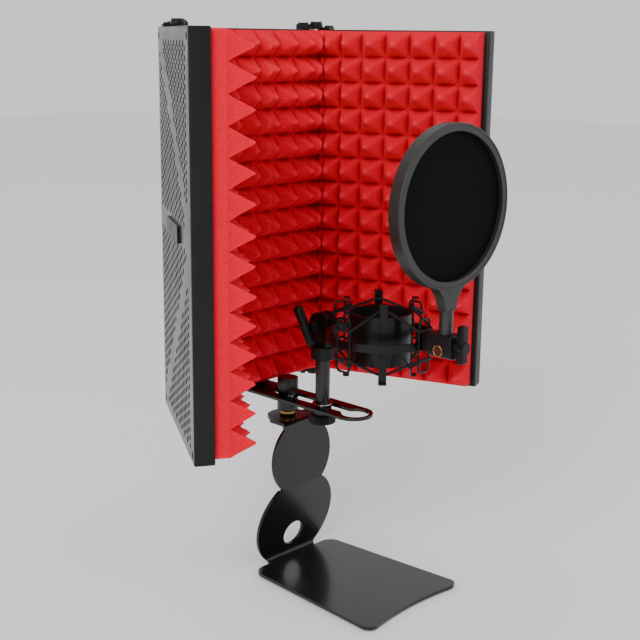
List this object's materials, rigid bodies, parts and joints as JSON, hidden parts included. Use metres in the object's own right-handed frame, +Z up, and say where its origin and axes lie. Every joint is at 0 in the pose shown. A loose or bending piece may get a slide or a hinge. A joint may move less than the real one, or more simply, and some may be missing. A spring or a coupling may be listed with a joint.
{
  "type": "microphone isolation shield on desk stand",
  "caption": "Folding three-panel microphone isolation shield lined with wedge foam, on a folded desk stand with a sliding post, elastic shock mount and pop filter.",
  "frame": {"origin": "centre of the base pad's underside, where the stand rests on the desk", "axes": "+Z up; +Y from the singer towards the shield's middle panel; +X to the singer's right"},
  "size_m": [0.3663, 0.286, 0.531],
  "materials": {
    "gloss_black": "gloss powder coat",
    "satin_black": "satin powder coat",
    "tray_finish": "fine textured dark powder coat on perforated sheet",
    "badge_blank": "satin, blank",
    "rubber_pad": "matt",
    "black_hardware": "black oxide",
    "bright_thread": "nickel plated",
    "brass_thread": "turned",
    "black_plastic": "moulded, fine grain",
    "filter_plastic": "moulded, satin",
    "filter_gauze": "woven nylon gauze",
    "red_foam": "open cell wedge foam, red",
    "backing_fleece": "black fleece board",
    "lining_felt": "black felt",
    "elastic_cord": "braided elastic"
  },
  "bodies": {
    "stand": {"stand_frame": "gloss_black", "base_pad": "rubber_pad", "stud_bolt": "black_hardware", "brass_stud": "brass_thread"},
    "coupler": {"coupling_lower": "gloss_black", "coupling_rod": "bright_thread", "coupling_washer": "bright_thread"},
    "hand_nut": {"coupling_nut": "gloss_black"},
    "shield": {"slotted_bar": "gloss_black", "bar_screws": "black_hardware", "bar_nuts": "bright_thread", "tray_middle": "tray_finish", "backing_middle": "backing_fleece", "badge_middle": "badge_blank", "foam_middle": "red_foam", "hinge_leaves_middle": "satin_black", "hinge_screws_middle": "black_hardware"},
    "left_wing": {"tray_left": "tray_finish", "backing_left": "backing_fleece", "badge_left": "badge_blank", "foam_left": "red_foam", "hinge_leaves_left": "satin_black", "hinge_screws_left": "black_hardware", "hinge_pins_left": "black_hardware"},
    "right_wing": {"tray_right": "tray_finish", "backing_right": "backing_fleece", "badge_right": "badge_blank", "foam_right": "red_foam", "hinge_leaves_right": "satin_black", "hinge_screws_right": "black_hardware", "hinge_pins_right": "black_hardware"},
    "post_carriage": {"post_washer": "bright_thread", "slot_bush": "black_plastic", "post_sleeve": "gloss_black"},
    "mic_post": {"mic_post": "gloss_black", "post_stud": "bright_thread", "fork_head": "black_plastic", "pivot_bolt": "black_hardware"},
    "post_nut": {"post_nut": "black_plastic"},
    "tilt_lever": {"tilt_lever": "black_plastic"},
    "mount_ring": {"ring_arm": "black_plastic", "outer_ring": "satin_black", "cord_loops": "satin_black", "clamp_body": "black_plastic", "clamp_insert": "brass_thread", "clamp_pad": "black_plastic", "upper_cord": "elastic_cord", "lower_cord": "elastic_cord"},
    "cradle": {"inner_cylinder": "satin_black", "cradle_lining": "lining_felt", "cradle_strips": "satin_black", "strip_rivets": "bright_thread"},
    "clamp_handle": {"clamp_screw": "bright_thread", "clamp_handle": "black_plastic"},
    "filter": {"filter_frame": "filter_plastic", "filter_rings": "filter_plastic", "mesh_spacer": "filter_plastic", "filter_mesh": "filter_gauze"}
  },
  "joints": [
    {"name": "shield_turn", "type": "hinge", "parent": "stand", "child": "coupler", "pos_m": [0, 0.08847, 0.16], "axis": [0, 0, 1], "range_deg": [-180, 180]},
    {"name": "hand_nut_turn", "type": "hinge", "parent": "coupler", "child": "hand_nut", "pos_m": [0, 0.08847, 0.18], "axis": [0, 0, 1], "continuous": true},
    {"name": "bar_slide", "type": "slide", "parent": "coupler", "child": "shield", "axis": [0, 1, 0], "range_m": [-0.003, 0.015]},
    {"name": "left_wing_fold", "type": "hinge", "parent": "shield", "child": "left_wing", "pos_m": [-0.09, 0.14, 0.35], "axis": [0, 0, 1], "range_deg": [-58, 17]},
    {"name": "right_wing_fold", "type": "hinge", "parent": "shield", "child": "right_wing", "pos_m": [0.09, 0.14, 0.35], "axis": [0, 0, -1], "range_deg": [-71, 4]},
    {"name": "post_slide", "type": "slide", "parent": "shield", "child": "post_carriage", "axis": [0, 1, 0], "range_m": [-0.02, 0.005]},
    {"name": "post_turn", "type": "hinge", "parent": "post_carriage", "child": "mic_post", "pos_m": [0, 0.0414, 0.19], "axis": [0, 0, 1], "range_deg": [-12, 12]},
    {"name": "post_nut_turn", "type": "hinge", "parent": "mic_post", "child": "post_nut", "pos_m": [0, 0.0414, 0.158], "axis": [0, 0, 1], "continuous": true},
    {"name": "tilt_lever_turn", "type": "hinge", "parent": "mic_post", "child": "tilt_lever", "pos_m": [-0.015, 0.0414, 0.25138], "axis": [1, 0, 0], "range_deg": [-80, 80]},
    {"name": "mount_tilt", "type": "hinge", "parent": "mic_post", "child": "mount_ring", "pos_m": [0, 0.0414, 0.25138], "axis": [1, 0, 0], "range_deg": [-15, 10]},
    {"name": "cradle_bounce", "type": "slide", "parent": "mount_ring", "child": "cradle", "axis": [0, 0, 1], "range_m": [-0.004, 0.004], "stiffness_N_per_m": 600, "deforming": ["upper_cord", "lower_cord"]},
    {"name": "clamp_handle_turn", "type": "hinge", "parent": "mount_ring", "child": "clamp_handle", "pos_m": [0, -0.12, 0.259], "axis": [0, 1, 0], "continuous": true},
    {"name": "filter_turn", "type": "hinge", "parent": "mount_ring", "child": "filter", "pos_m": [0, -0.103, 0.28], "axis": [0, 0, 1], "range_deg": [-25, 25]}
  ]
}
